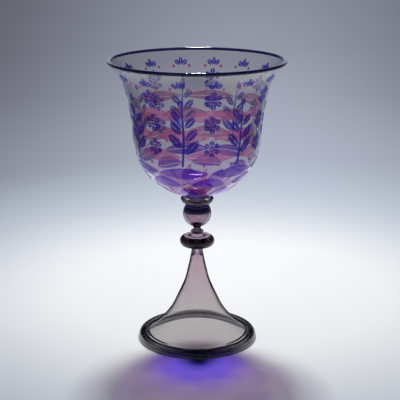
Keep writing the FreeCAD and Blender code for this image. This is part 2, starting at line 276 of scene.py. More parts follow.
def spun(name, line, segments):
    """A closed surface spun about the goblet's axis from the line of its half section."""
    deselect()
    bpy.ops.mesh.primitive_plane_add(size=mm, location=(0, 0, 0))
    piece = bpy.context.object
    piece.name = name
    edit_all()
    bpy.ops.mesh.merge(type="CENTER")
    radius, level = line[0]
    bpy.ops.transform.translate(value=(radius * mm, 0, level * mm))
    for (r0, z0), (r1, z1) in zip(line, line[1:]):
        step = ((r1 - r0) * mm, 0, (z1 - z0) * mm)
        bpy.ops.mesh.extrude_region_move(TRANSFORM_OT_translate={"value": step})
    bpy.ops.mesh.select_all(action="SELECT")
    bpy.ops.mesh.spin(steps=segments, angle=full_circle, center=(0, 0, 0), axis=(0, 0, 1))
    bpy.ops.mesh.select_all(action="SELECT")
    bpy.ops.mesh.remove_doubles(threshold=weld_distance)
    bpy.ops.mesh.select_all(action="SELECT")
    bpy.ops.mesh.normals_make_consistent(inside=False)
    edit_done()
    return piece


def turned(name, line, segments, bubble=None, core=None, joints=()):
    """A turned piece with an optional bubble inside, or a core given as its line and material.
    Its joints are flat rings, each given as (inner radius, outer radius, level), where the glass
    runs on into the next piece."""
    piece = spun(name, line, segments)
    if bubble:
        hollow = spun(name + "_bubble", bubble, segments)
        alone(hollow)
        edit_all()
        bpy.ops.mesh.flip_normals()
        edit_done()
        joined([piece, hollow])
    if core:
        core_line, core_material = core
        rod = spun(name + "_core", core_line, segments)
        rod.data.materials.append(bpy.data.materials[core_material])
        piece.data.materials.append(None)
        joined([piece, rod])
    alone(piece)
    bpy.ops.object.shade_smooth_by_angle(angle=crisp_angle)
    joint_rings[piece.name] = joints
    return piece


def solid(name, side, bubble=None, core=None):
    """A turned piece of the stem that reaches the axis, between the joint faces at the two ends
    of its side."""
    (low_radius, low), (high_radius, high) = side[0], side[-1]
    joints = [(0, low_radius, low), (0, high_radius, high)]
    return turned(name, [(0, low), *side, (0, high)], stem_segments, bubble, core, joints)


def dress(piece, material, joint, lining=None):
    """Gives a piece its glass, its joint faces the clear material of fused glass and, where the
    inside of its wall has a glass of its own, that side its lining."""
    materials = piece.data.materials
    if len(materials):
        materials[0] = material
    else:
        materials.append(material)
    rings = joint_rings.get(piece.name)
    if not rings:
        return
    materials.append(joint)
    joint_index = len(materials) - 1
    slack = 0.01
    for face in piece.data.polygons:
        centre = face.center
        out = math.hypot(centre.x, centre.y) / mm
        level = centre.z / mm
        for inner, outer, height in rings:
            if abs(level - height) < slack and inner - slack < out < outer + slack:
                face.material_index = joint_index
    if not lining:
        return
    materials.append(lining)
    for face in piece.data.polygons:
        towards_axis = face.normal.x * face.center.x + face.normal.y * face.center.y < 0
        if towards_axis and face.material_index == 0:
            face.material_index = joint_index + 1


# Foot

def foot_base_lip():
    half = (roll_level - table_level) / 2
    edge = base_lip_radius - half
    roll_foot_radius = roll_outer_radius - (roll_outer_radius - trumpet_seat_radius) / 3
    line = [(base_lip_bore_radius, roll_level), (base_lip_bore_radius, table_level)]
    line += arc((edge, table_level + half), half, -90, 90, count=12)
    line += [(roll_foot_radius, roll_level), (base_lip_bore_radius, roll_level)]
    joints = [(base_lip_bore_radius, roll_foot_radius, roll_level)]
    return turned("base_lip", line, foot_segments, joints=joints)


def roll_line(inset):
    width = roll_outer_radius - trumpet_seat_radius
    low, high = roll_level + inset, roll_top - inset
    seat = trumpet_level - inset
    outer_bottom = (roll_outer_radius - width / 3 - inset / 2, low)
    round_side = smooth([outer_bottom, (roll_outer_radius - inset, (low + high) / 2),
                         (trumpet_seat_radius + width / 2, high),
                         (trumpet_seat_radius + inset / 2, seat)], count=28)
    inner_bottom = (base_lip_bore_radius + inset, low)
    return [inner_bottom, *round_side, (roll_inner_radius + 2 * inset, seat), inner_bottom]


def foot_roll():
    outside = roll_line(0)
    joints = [(outside[0][0], outside[1][0], roll_level),
              (roll_inner_radius, trumpet_seat_radius, trumpet_level)]
    return turned("rolled_rim", outside, foot_segments, bubble=roll_line(roll_wall), joints=joints)


def trumpet_foot():
    outside = smooth(between((trumpet_top_radius, trumpet_level),
                             (trumpet_seat_radius, plug_level), trumpet_shares), count=72)
    inside = beside(outside, trumpet_wall)
    inside[0] = (inside[0][0], trumpet_level)
    inside[-1] = (inside[-1][0], plug_level)
    line = outside + inside[::-1] + outside[:1]
    joints = [(inside[0][0], trumpet_seat_radius, trumpet_level),
              (inside[-1][0], trumpet_top_radius, plug_level)]
    return turned("trumpet", line, foot_segments, joints=joints)


# Stem

def foot_plug():
    side = smooth([(trumpet_top_radius, plug_level),
                   (plug_neck_radius, plug_level + (disc_level - plug_level) * 2 / 3),
                   (plug_top_radius, disc_level)], count=16)
    mouth = (trumpet_top_radius - trumpet_wall, plug_level)
    top_level = plug_level + plug_bore_height
    end_rise = plug_bore_radius / 2
    end_radius = (plug_bore_radius ** 2 + end_rise ** 2) / (2 * end_rise)
    end_angle = math.degrees(math.acos(plug_bore_radius / end_radius))
    crown = arc((0, top_level - end_radius), end_radius, end_angle, 90, count=10)
    bore = [mouth, (plug_bore_radius, plug_level + plug_throat_height), *crown]
    line = [*bore[::-1], *side, (0, disc_level)]
    joints = [(mouth[0], trumpet_top_radius, plug_level), (0, plug_top_radius, disc_level)]
    return turned("plug", line, stem_segments, joints=joints)


def disc_knop():
    middle = (disc_bottom + disc_top) / 2
    round_radius = (disc_top - disc_bottom) / 2
    side = arc((disc_radius - round_radius, middle), round_radius, -90, 90, count=28)
    outside = [(plug_top_radius, disc_level), *side, (collar_radius, collar_level)]
    rim_level = middle - disc_bubble_drop
    rise = disc_bubble_height / 2
    dome_radius = (disc_bubble_radius ** 2 + rise ** 2) / (2 * rise)
    reach = math.degrees(math.asin(disc_bubble_radius / dome_radius))
    under = arc((0, rim_level - rise + dome_radius), dome_radius, -90, reach - 90, count=18)
    over = arc((0, rim_level + rise - dome_radius), dome_radius, 90 - reach, 90, count=18)
    return solid("disc", outside, bubble=under + over[1:])


def disc_collar():
    side = smooth([(collar_radius, collar_level),
                   (bead_seat_radius, (collar_level + bead_level) / 2),
                   (bead_seat_radius, bead_level)], count=12)
    return solid("collar", side)


def neck_bead():
    half = (spool_level - bead_level) / 2
    bulge = bead_radius - bead_seat_radius
    round_radius = (bulge ** 2 + half ** 2) / (2 * bulge)
    reach = math.degrees(math.acos((round_radius - bulge) / round_radius))
    centre = (bead_radius - round_radius, bead_level + half)
    side = arc(centre, round_radius, -reach, reach, count=20)
    low, high = bead_level + core_inset, spool_level - core_inset
    core = [(0, low), (bead_core_radius, low), (bead_core_radius, high), (0, high)]
    return solid("bead", side, core=(core, "core_skin"))


def neck_spool():
    side = smooth([(bead_seat_radius, spool_level),
                   (spool_waist_radius, spool_level + (ball_level - spool_level) / 4),
                   (ball_bottom_seat_radius, ball_level)], count=14)
    return solid("spool", side)


def ball_knop():
    centre = ball_level + math.sqrt(ball_radius ** 2 - ball_bottom_seat_radius ** 2)
    low_angle = math.degrees(math.asin((ball_level - centre) / ball_radius))
    high_angle = math.degrees(math.asin((saucer_level - centre) / ball_radius))
    side = arc((0, centre), ball_radius, low_angle, high_angle, count=56)
    bubble_radius = ball_radius - ball_wall
    crown = saucer_level - ball_crown - centre
    crown_angle = math.degrees(math.asin(crown / bubble_radius))
    bubble = arc((0, centre), bubble_radius, -90, crown_angle, count=56) + [(0, centre + crown)]
    return solid("ball", side, bubble=bubble)


def saucer_merese():
    edge = saucer_top - saucer_rim
    under = smooth(between((ball_top_seat_radius, saucer_level), (saucer_radius, edge),
                           saucer_under_shares), count=24)
    rim = arc((saucer_radius - saucer_rim / 2, edge), saucer_rim / 2, 0, 180, count=10)
    rim = [(r, edge + (z - edge) * 2) for r, z in rim]
    inside = smooth(between((flange_stub_radius, flange_level),
                            (saucer_radius - saucer_rim, edge), saucer_inside_shares), count=24)
    return solid("saucer", [*under, *rim[1:], *inside[::-1][1:]])


def neck_flange():
    under = smooth([(flange_stub_radius, flange_level),
                    (flange_stub_radius + flange_edge / 2, flange_middle - 2 * flange_edge),
                    (flange_radius - flange_edge / 2, flange_middle)], count=18)
    rim = arc((flange_radius - flange_edge / 2, flange_middle + flange_edge / 2), flange_edge / 2,
              -90, 90, count=8)
    over = smooth([(flange_radius - flange_edge / 2, flange_middle + flange_edge),
                   (flange_neck_radius + flange_edge / 2, flange_middle + 2 * flange_edge),
                   (flange_neck_radius, pad_level)], count=18)
    return solid("flange", [*under, *rim[1:], *over[1:]])


def bowl_base_pad():
    side = smooth(between((flange_neck_radius, pad_level), (pad_radius, bowl_level),
                          pad_shares), count=18)
    low, high = pad_level + core_inset, bowl_level - core_inset
    core = [(0, low), (flange_neck_radius - pad_skin, low), (pad_radius - pad_skin, high),
            (0, high)]
    return solid("pad", side, core=(core, "pad_core"))


# Bowl

bowl_line = smooth(between((pad_radius, bowl_level), (bowl_top_radius, lip_seat_level),
                           bowl_shares), count=110)


def bowl_wall():
    inside = beside(bowl_line, bowl_wall_thickness)
    inside[-1] = (lip_radius - lip_seat_half_width, lip_seat_level)
    line = [(0, bowl_level), *bowl_line, *inside[::-1], (0, inside[0][1])]
    joints = [(0, pad_radius, bowl_level), (inside[-1][0], bowl_line[-1][0], lip_seat_level)]
    return turned("bowl", line, bowl_segments, joints=joints)


def lip_wrap():
    seat_angle = math.degrees(math.atan2(lip_seat_level - lip_centre_level, lip_seat_half_width))
    ring = arc((lip_radius, lip_centre_level), lip_thread_radius, seat_angle, 180 - seat_angle, count=28)
    joints = [(lip_radius - lip_seat_half_width, lip_radius + lip_seat_half_width,
               lip_seat_level)]
    return turned("lip", ring + ring[:1], bowl_segments, joints=joints)


# Overlay design: shapes cut flat, pressed on the bowl's wall and given their thickness

bowl_wall_height = lip_seat_level - bowl_level


def bowl_radius(height):
    """The bowl's outside radius at a height above its seat."""
    line = between((pad_radius, bowl_level), (bowl_top_radius, lip_seat_level), bowl_shares)
    return float(np.interp(bowl_level + height, [z for _, z in line], [r for r, _ in line]))


def half_width(height):
    """Half of one repeat's width at a height, straight across."""
    return bowl_radius(height) * math.sin(half_repeat)


def cut_cells(low, high):
    """Cuts the flat shape in edit mode along lines a cell apart, so that it can bend."""
    for axis in (1, 2):
        along = [0, 0, 0]
        along[axis] = 1
        cuts = math.ceil((high[axis - 1] - low[axis - 1]) / overlay_cell)
        for cut in range(1, cuts):
            place = low[axis - 1] + (high[axis - 1] - low[axis - 1]) * cut / cuts
            bpy.ops.mesh.select_all(action="SELECT")
            bpy.ops.mesh.bisect(plane_co=[place * mm * part for part in along], plane_no=along)


def half_lens(length, bulge, gap):
    """What a chord cuts off a disc: it lies along +Y from the origin and bulges towards +Z, or
    towards -Z where the bulge is negative. The UV map runs along it and from chord to arc."""
    side = math.copysign(1, bulge)
    rise = abs(bulge)
    radius = (length ** 2 / 4 + rise ** 2) / (2 * rise)
    corners = max(lens_least_corners,
                  math.ceil(full_circle * radius / overlay_cell * lens_corners_per_cell))
    deselect()
    bpy.ops.mesh.primitive_circle_add(vertices=corners, radius=radius * mm, fill_type="NGON",
                                      location=(0, length / 2 * mm, side * (rise - radius) * mm),
                                      rotation=(0, math.pi / 2, 0))
    apply_place()
    piece = bpy.context.object
    edit_all()
    bpy.ops.mesh.bisect(plane_co=(0, 0, side * gap / 2 * mm), plane_no=(0, 0, side),
                        clear_inner=True)
    cut_cells((0, min(0, bulge)), (length, max(0, bulge)))
    edit_done()
    chart = piece.data.uv_layers[0].data
    for loop in piece.data.loops:
        place = piece.data.vertices[loop.vertex_index].co / mm
        arc_rise = math.sqrt(max(0, radius ** 2 - (place.y - length / 2) ** 2)) - radius + rise
        chart[loop.index].uv = place.y / length, place.z / max(arc_rise, gap)
    return piece


def lens(length, near_bulge, far_bulge, gap=cut_line):
    """A pointed shape between two arcs, cut through along the line between its points."""
    return joined([half_lens(length, near_bulge, gap), half_lens(length, -far_bulge, gap)])


def placed(piece, across, height, rise=0.0):
    """Stands a flat shape in front of the bowl, turned up by some degrees about its start."""
    alone(piece)
    piece.rotation_euler = (math.radians(rise), 0, 0)
    piece.location = Vector((0, across, bowl_level + height)) * mm
    apply_place()
    return piece


def leaf(across, height, start, end, width, rise):
    """A leaf whose length runs from one distance to another from a point, at some slope."""
    piece = lens(end - start, width / 2, width / 2)
    slope = math.radians(rise)
    return placed(piece, across + start * math.cos(slope), height + start * math.sin(slope), rise)


def flat_disc(height, radius, hole=0.0):
    """A round drop, or a ring where it has a hole."""
    deselect()
    fill = "NGON" if hole else "TRIFAN"
    bpy.ops.mesh.primitive_circle_add(vertices=drop_corners, radius=radius * mm, fill_type=fill,
                                      rotation=(0, math.pi / 2, 0))
    apply_place()
    piece = bpy.context.object
    if hole:
        edit_all()
        bpy.ops.mesh.inset(thickness=(radius - hole) * mm)
        bpy.ops.mesh.delete(type="FACE")
        edit_done()
    for corner in piece.data.uv_layers[0].data:
        corner.uv = 0, 0
    return placed(piece, 0, height)


def pressed(name, pieces, wall, inside=False, under=False):
    """Joins flat shapes, presses them on the bowl's wall and thickens them away from it."""
    piece = joined(pieces)
    piece.name = name
    alone(piece)
    if not inside:
        away = (0, 0, -bowl_level) if under else (bowl_top_radius, 0, 0)
        piece.location = Vector(away) * mm
        apply_place()
    press = piece.modifiers.new("press", "SHRINKWRAP")
    press.target = wall
    press.wrap_method = "PROJECT"
    press.use_project_x = not under
    press.use_project_z = under
    press.use_positive_direction = inside or under
    press.use_negative_direction = not (inside or under)
    bpy.ops.object.modifier_apply(modifier="press")
    edit_all()
    bpy.ops.mesh.remove_doubles(threshold=weld_distance)
    if inside:
        bpy.ops.mesh.flip_normals()
    bpy.ops.transform.shrink_fatten(value=overlay_gap * mm)
    edit_done()
    thicken = piece.modifiers.new("thicken", "SOLIDIFY")
    thicken.thickness = overlay_thickness * mm
    thicken.offset = 1
    bpy.ops.object.modifier_apply(modifier="thicken")
    return piece


def repeated(piece, half_step=False, count=design_repeats):
    """Copies of a piece round the bowl, on the steps or half way between them."""
    step = full_circle / count
    start = step / 2 if half_step else 0
    copies = [piece]
    for _ in range(1, count):
        copy = piece.copy()
        copy.data = piece.data.copy()
        bpy.context.scene.collection.objects.link(copy)
        copies.append(copy)
    deselect()
    for turn, copy in enumerate(copies):
        copy.rotation_euler = (0, 0, start + turn * step)
        copy.select_set(True)
    bpy.context.view_layer.objects.active = piece
    apply_place()
    bpy.ops.object.join()
    bpy.ops.object.shade_smooth_by_angle(angle=crisp_angle)
    return piece


def frond_point(share):
    """A point on the frond's stem, by its share of the way up."""
    height = bowl_wall_height * (frond_foot_share + (frond_top_share - frond_foot_share) * share)
    return frond_lean * 4 * share * (1 - share), height


def frond_stem():
    """A leaning strip that narrows to a third at its tip."""
    deselect()
    steps = math.ceil(bowl_wall_height * (frond_top_share - frond_foot_share) / overlay_cell)
    bpy.ops.mesh.primitive_grid_add(x_subdivisions=steps, y_subdivisions=2, size=1,
                                    rotation=(0, math.pi / 2, 0))
    apply_place()
    piece = bpy.context.object
    for corner in piece.data.vertices:
        share = corner.co.z + 0.5
        across, height = frond_point(share)
        narrow = 1 - frond_tip_narrowing * (2 * share ** 2 - share)
        corner.co = Vector((0, across + corner.co.y * frond_stem_width * narrow, height)) * mm
    for corner in piece.data.uv_layers[0].data:
        corner.uv = 0, 0
    return placed(piece, 0, 0)


def violet_fronds(wall):
    """Leaf sprays: a leaning stem with pairs of leaves that shorten towards a leaf at the tip."""
    middle_share = (frond_foot_share + frond_top_share) / 2
    reach = half_width(bowl_wall_height * middle_share) * leaf_reach_share
    slope = math.radians(frond_leaf_rise)
    leaf_start = (frond_stem_width / 2 + cut_line) / math.cos(slope)
    tip_across, tip_height = frond_point(1)
    pieces = [frond_stem(), leaf(tip_across, tip_height, frond_tip_start_share * frond_stem_width,
                                 frond_tip_leaf_length * frond_tip_end_share,
                                 frond_tip_leaf_width, 90)]
    for pair in range(frond_leaf_pairs):
        for side in (0, 1):
            number = pair + frond_first_leaf + side * frond_leaf_stagger
            share = number / (frond_leaf_pairs + frond_leaf_room)
            size = 1 - frond_leaf_taper * share
            rise = 180 - frond_leaf_rise if side else frond_leaf_rise
            pieces.append(leaf(*frond_point(share), leaf_start, reach / math.cos(slope) * size,
                               frond_leaf_width * size, rise))
    return repeated(pressed("violet_sprays", pieces, wall))


def violet_blossoms(wall):
    pieces = []
    for share in blossom_height_shares:
        height = bowl_wall_height * share
        pieces.append(flat_disc(height, blossom_ring_radius,
                                hole=blossom_heart_radius + blossom_heart_gap))
        for petal in range(blossom_petals):
            pieces.append(leaf(0, height, blossom_ring_radius + cut_line / 2,
                               half_width(height) * blossom_reach_share, blossom_petal_width,
                               90 + petal * 360 / blossom_petals))
    return repeated(pressed("violet_flowers", pieces, wall), half_step=True)


def violet_sprigs(wall):
    height = bowl_wall_height * sprig_height_share
    pieces = [leaf(0, height, cut_line + abs(turn) * sprig_side_start, sprig_leaf_length,
                   sprig_leaf_width, 90 + turn) for turn in (-sprig_leaf_spread, 0, sprig_leaf_spread)]
    return repeated(pressed("violet_buds", pieces, wall),
                    count=design_repeats * sprigs_per_repeat)


def band(height, reach_share, crest, belly):
    """A pointed band that lies along the bowl."""
    reach = bowl_radius(height) * math.sin(half_repeat * reach_share)
    return placed(lens(2 * reach, crest, belly, gap=cut_line), -reach, height)


def violet_waves(wall):
    rows = []
    for row, share in enumerate(wave_height_shares):
        wave = band(bowl_wall_height * share, wave_reach_shares[row], wave_crests[row],
                    wave_bellies[row])
        rows.append(repeated(pressed("violet_rollers", [wave], wall), half_step=bool(row)))
    return joined(rows)


def calyx(name, wall, width_share, half_step):
    """Pointed petals that lie under the bowl, from beside its pad outwards."""
    start = pad_radius + calyx_clearance
    end = bowl_radius(bowl_wall_height * calyx_tip_share)
    bulge = (start + end) / 2 * half_repeat * width_share
    piece = lens(end - start, bulge, bulge)
    alone(piece)
    lie_flat = Matrix(((0, 1, 0, start * mm), (0, 0, -1, 0), (-1, 0, 0, bowl_level * mm),
                       (0, 0, 0, 1)))
    piece.matrix_world = lie_flat
    apply_place()
    return repeated(pressed(name, [piece], wall, under=True), half_step)


def violet_calyx(wall):
    return calyx("violet_calyx_petals", wall, violet_petal_share, False)


def rose_calyx(wall):
    return calyx("rose_calyx_petals", wall, rose_petal_share, True)


def rose_clouds(wall):
    rows = []
    for row, share in enumerate(cloud_height_shares):
        cloud = band(bowl_wall_height * share, cloud_reach_share, cloud_crest, cloud_belly)
        rows.append(repeated(pressed("rose_bands", [cloud], wall, inside=True),
                             half_step=row % 2 == 0))
    return joined(rows)


def rose_dots(wall):
    drops = [flat_disc(bowl_wall_height * share, dot_radius) for share in dot_height_shares]
    ring_count = design_repeats * dots_per_repeat
    dots = repeated(pressed("rose_drops", drops, wall), half_step=True, count=ring_count)
    hearts = [flat_disc(bowl_wall_height * share, blossom_heart_radius)
              for share in blossom_height_shares]
    return joined([dots, repeated(pressed("rose_hearts", hearts, wall), half_step=True)])


# Materials

cloud_detail = 3.0
cloud_roughness = 0.5
cloud_edges = (0.35, 0.65)
cloud_reach = 0.3
spot_disorder = 0.55
spot_softness = 0.6
line_ends = (0.9, 0.75)


def linear(colour):
    """A colour given in 0 to 255 as the screen shows it, as the linear values of a shader."""
    shares = [c / 255 for c in colour]
    return tuple(c / 12.92 if c <= 0.04045 else ((c + 0.055) / 1.055) ** 2.4 for c in shares)


def new_material(name):
    material = bpy.data.materials.new(name)
    material.use_nodes = True
    material.node_tree.nodes.clear()
    return material, material.node_tree


def give(tree, socket, value):
    """Links an input to what a node puts out, or sets it to a number, a place or a colour."""
    if isinstance(value, bpy.types.NodeSocket):
        tree.links.new(value, socket)
    elif isinstance(value, tuple) and socket.type == "RGBA":
        socket.default_value = (*value, 1)
    else:
        socket.default_value = value


def node(tree, kind, *inputs, result=0, **settings):
    """What a new node puts out, by its place or name. Inputs are given in the node's order, and
    settings and other inputs by name."""
    made = tree.nodes.new("ShaderNode" + kind)
    for name, value in settings.items():
        if hasattr(made, name):
            setattr(made, name, value)
        else:
            give(tree, made.inputs[name.replace("_", " ")], value)
    for socket, value in zip(made.inputs, inputs):
        give(tree, socket, value)
    return made.outputs[result]


def maths(tree, operation, *values):
    return node(tree, "Math", *values, operation=operation)


def ranged(tree, value, start, end, low=0.0, high=1.0, soft=False):
    """A value taken from one range to another, evenly or with soft ends."""
    kind = "SMOOTHSTEP" if soft else "LINEAR"
    return node(tree, "MapRange", value, start, end, low, high, interpolation_type=kind)


def ramped(tree, value, stops, line="LINEAR"):
    """A colour that follows a value through colours, each given after its place."""
    made = tree.nodes.new("ShaderNodeValToRGB")
    made.color_ramp.interpolation = line
    elements = made.color_ramp.elements
    for _ in stops[2:]:
        elements.new(0.5)
    for element, (place, colour) in zip(elements, stops):
        element.position = place
        element.color = (*colour, 1)
    give(tree, made.inputs["Fac"], value)
    return made.outputs["Color"]


def place_part(tree, part, chart="Object"):
    """One of the three parts of a place."""
    return node(tree, "SeparateXYZ", node(tree, "TexCoord", result=chart), result=part)


def clouds(tree, grain):
    place = node(tree, "TexCoord", result="Object")
    return node(tree, "TexNoise", Vector=place, Scale=grain, Detail=cloud_detail,
                Roughness=cloud_roughness)


def noise_tint(tree, tints, grain):
    """A tint that drifts between two colours in soft clouds."""
    return ramped(tree, clouds(tree, grain), tuple(zip(cloud_edges, tints)))


def by_level(tree, low, high):
    """A value that changes evenly from one level to another, each given as (level, value)."""
    (start, first), (end, last) = low, high
    return ranged(tree, place_part(tree, "Z"), start * mm, end * mm, first, last)


def level_tint(tree, stops, grain):
    """A tint that changes with the level, given as levels and tints, with soft clouds in it."""
    low, high = stops[0][0], stops[-1][0]
    cloud = maths(tree, "MULTIPLY", maths(tree, "SUBTRACT", clouds(tree, grain), 0.5), cloud_reach)
    way = maths(tree, "ADD", by_level(tree, (low, 0), (high, 1)), cloud)
    return ramped(tree, way, [((level - low) / (high - low), tint) for level, tint in stops])


def blended(tree, share, first, second):
    """One tint or the other, or between them, by a share."""
    mix = tree.nodes.new("ShaderNodeMix")
    mix.data_type = "RGBA"
    for spot, value in ((0, share), (6, first), (7, second)):
        give(tree, mix.inputs[spot], value)
    return mix.outputs[2]


def edge_on(tree, start, end):
    """Grows from none to one as a wall is seen more edge on, where the way through it is long. It
    places the painted dark edges of the glass, a painted shade for the dark studio seen in it
    there, and the lip's painted sheen.
    Start and end are one facing each, or a facing at a low and at a high level."""
    ends = [by_level(tree, *at) if isinstance(at, tuple) else at for at in (start, end)]
    return ranged(tree, node(tree, "LayerWeight", 0.5, result="Facing"), *ends, soft=True)


def radial_tint(tree, radii, tints):
    """A tint that changes with the distance from the axis."""
    place = node(tree, "TexCoord", result="Object")
    flat = node(tree, "VectorMath", place, (1, 1, 0), operation="MULTIPLY")
    away = node(tree, "VectorMath", flat, operation="LENGTH", result="Value")
    share = ranged(tree, away, radii[0] * mm, radii[1] * mm, soft=True)
    return blended(tree, share, *tints)


def spotted(tree, ground, spot, size, radius):
    """Small round spots cleared in an overlay."""
    place = node(tree, "TexCoord", result="Object")
    cells = node(tree, "TexVoronoi", Vector=place, Scale=1 / (size * mm), Randomness=spot_disorder)
    share = ranged(tree, cells, radius / size, radius / size * spot_softness)
    return blended(tree, share, ground, spot)


def engraved_tint(tree, ground, cleared, count, slant, width):
    """Fine lines engraved in an overlay. The UV map runs along a leaf and from its midrib, where
    it is nought, to its edges: the lines cross the leaf and slant towards its tip."""
    from_midrib = maths(tree, "ABSOLUTE", place_part(tree, "Y", "UV"))
    along = maths(tree, "MULTIPLY", place_part(tree, "X", "UV"), count)
    slanted = maths(tree, "SUBTRACT", along, maths(tree, "MULTIPLY", from_midrib, slant))
    line = ranged(tree, maths(tree, "PINGPONG", slanted, 0.5), 0.5 - width, 0.5, soft=True)
    inside = ranged(tree, from_midrib, *line_ends)
    return blended(tree, maths(tree, "MULTIPLY", line, inside), ground, cleared)


def mixed(tree, share, first, second):
    """One shader or the other, or both by a share."""
    return node(tree, "MixShader", share, first, second)


def clear_film(tree, tint):
    """Lets all light straight on, tinted."""
    return node(tree, "BsdfTransparent", tint)


def finished(tree, surface, kind="OutputMaterial"):
    give(tree, tree.nodes.new("ShaderNode" + kind).inputs["Surface"], surface)


def glass(name, tint, leaving=None, edge=None, painted_outline=None, shade=None, cloudy=None, film_and_painted_highlight=None,
          straight=None):
    """Coloured glass. The tint, worked out by a function, is what passes through a wall, leaving
    is the tint where light comes out of it, if another, and edge is the tint of a wall seen edge
    on, from one facing to another, a painted shade that darkens the glass where it is seen edge
    on, for the dark studio seen in it there. The outline is the same for a painted dark edge
    that reflects nothing.
    Rays from lamps pass straight on, tinted by the shade, so that the floor keeps a coloured
    shadow. With cloudy, a share of the light and a colour, the glass also scatters a little of
    the light behind it, and with film, a colour and a function for its share, of the light that
    falls on it: the spool's mauve, and painted highlights, sheen and glints elsewhere. Straight,
    a tint and a function for its share, is the light that isn't bent."""
    material, tree = new_material(name)
    colour = tint(tree)
    if leaving:
        colour = blended(tree, node(tree, "NewGeometry", result="Backfacing"), colour, leaving)
    seen = colour
    # Painted shade: the tint darkens where the wall is seen edge on.
    if edge:
        side_tint = edge[0](tree) if callable(edge[0]) else edge[0]
        seen = blended(tree, edge_on(tree, *edge[1:]), colour, side_tint)
    body = node(tree, "BsdfPrincipled", Base_Color=seen, Roughness=0.0, IOR=glass_ior,
                Transmission_Weight=1.0)
    if cloudy:
        body = mixed(tree, cloudy[0], body, node(tree, "BsdfTranslucent", cloudy[1]))
    # Diffuse films: the spool's mauve, and painted highlights, sheen and glints elsewhere.
    if film_and_painted_highlight:
        body = mixed(tree, film_and_painted_highlight[1](tree), body, node(tree, "BsdfDiffuse", film_and_painted_highlight[0]))
    if straight:
        body = mixed(tree, straight[1](tree), body, clear_film(tree, straight[0]))
    # Painted shade: a nearly black edge that lets light through darkened and reflects nothing.
    if painted_outline:
        body = mixed(tree, edge_on(tree, *painted_outline[1:]), body, clear_film(tree, painted_outline[0]))
    lit_through = clear_film(tree, node(tree, "Gamma", shade(tree) if shade else colour, 0.5))
    for ray in ("Is Diffuse Ray", "Is Shadow Ray"):
        body = mixed(tree, node(tree, "LightPath", result=ray), body, lit_through)
    finished(tree, body)
    return material


def clouded(first, second, grain):
    """A function for a tint that drifts between two colours."""
    return lambda tree: noise_tint(tree, (first, second), grain)


def layered(stops, grain):
    """A function for a tint that changes with the level."""
    return lambda tree: level_tint(tree, stops, grain)


def engraved(ground, grain, cleared, lines, spots=None):
    """A function for an overlay's tint with engraved lines and, if given, cleared spots."""
    def tint(tree):
        lined = engraved_tint(tree, noise_tint(tree, ground, grain), cleared, *lines)
        return spotted(tree, lined, *spots) if spots else lined
    return tint


# Glass of each piece

# The nearly black colour is that of painted dark edges, and every edge tint below is painted shade, for
# the dark studio seen in the glass where it is seen edge on.
painted_edge_black = (0.02, 0.015, 0.03)
nearly_clear = (0.95, 0.94, 0.97)
disc_skin = (0.60, 0.52, 0.585)
violet_ground = ((0.125, 0.075, 0.66), (0.19, 0.105, 0.78))
wave_ground = ((0.27, 0.12, 0.74), (0.44, 0.21, 0.86))
petal_ground = ((0.62, 0.36, 0.86), (0.72, 0.44, 0.90))
rose_ground = ((0.74, 0.30, 0.55), (0.84, 0.40, 0.66))
rose_spot = (0.90, 0.50, 0.72)
rose_haze = (0.12, (0.9, 0.3, 0.6))

# Engraved lines as their count along the shape, slant and width, and spots as size and radius
leaf_lines = (6.0, 1.2, 0.09)
wave_lines = (0.0, 2.5, 0.12)
petal_lines = (3.0, 2.5, 0.10)
cloud_lines = (0.0, 3.0, 0.10)
leaf_spots = (rose_spot, 3.4, 0.62)
wave_spots = (rose_spot, 5.0, 0.8)

# Where a glass changes its tint: levels, radii from the axis, and rises above a joint
bowl_low_level = 140.0
bowl_belly_level = 150.0
bowl_clear_level = 170.0
flange_clear_rise = 0.8
flange_dark_rise = 2.0
# The ball's painted blue reflection: where it starts and is full, and its ring.
ball_glint_rises = (11.5, 15.0)
ball_glint_ring_drop = 1.5
ball_glint_ring_half = 0.6
# The disc's painted highlight streak: where it starts, is brightest and ends.
disc_painted_streak_rises = (5.4, 6.3, 7.0)
disc_top_depth = 0.5
disc_skin_depths = (0.30, 0.08)
collar_skirt_rises = (1.2, 2.0)
# Where the saucer's painted dark rim starts and is full, as shares of its radius.
saucer_painted_rim_shares = (0.60, 0.82)
foot_grey_level = 15.0
foot_mauve_level = 76.0
# The foot's painted dark edges change between these levels.
painted_outline_low_level = 6.0
painted_outline_high_level = 74.0
rim_tint_radii = (44.5, 47.0)
# The rolled rim's painted highlight line: its level and half width.
rim_highlight_level = 2.2
rim_highlight_half = 0.6
# The base lip's painted highlight: the levels where it starts and is full.
base_highlight_levels = (1.0, 1.28)

# How much of the light the films or an unbent way take: the films of the ball, the lip, the
# rolled rim and the base are painted glints, sheen and highlights
ball_glint_share = 0.05
ball_glint_ring_share = 0.9
disc_straight_share = 0.88
collar_straight_share = 0.9
lip_sheen_share = 0.35
spool_film_share = 0.55
rim_highlight_share = 0.8
base_highlight_share = 0.6
pad_core_share = 0.45


def fused_joint():
    material, tree = new_material("fused_joint")
    finished(tree, clear_film(tree, (1.0, 1.0, 1.0)))
    return material


def core_skin():
    """The skin of a mauve rod inside clear glass: it bends no light, and its sides are darkened
    by painted shade.
    """
    tree = new_material("core_skin")[1]
    tint = noise_tint(tree, ((0.76, 0.64, 0.74), (0.82, 0.70, 0.80)), 110.0)
    finished(tree, clear_film(tree, blended(tree, edge_on(tree, 0.40, 0.65), tint, painted_edge_black)))


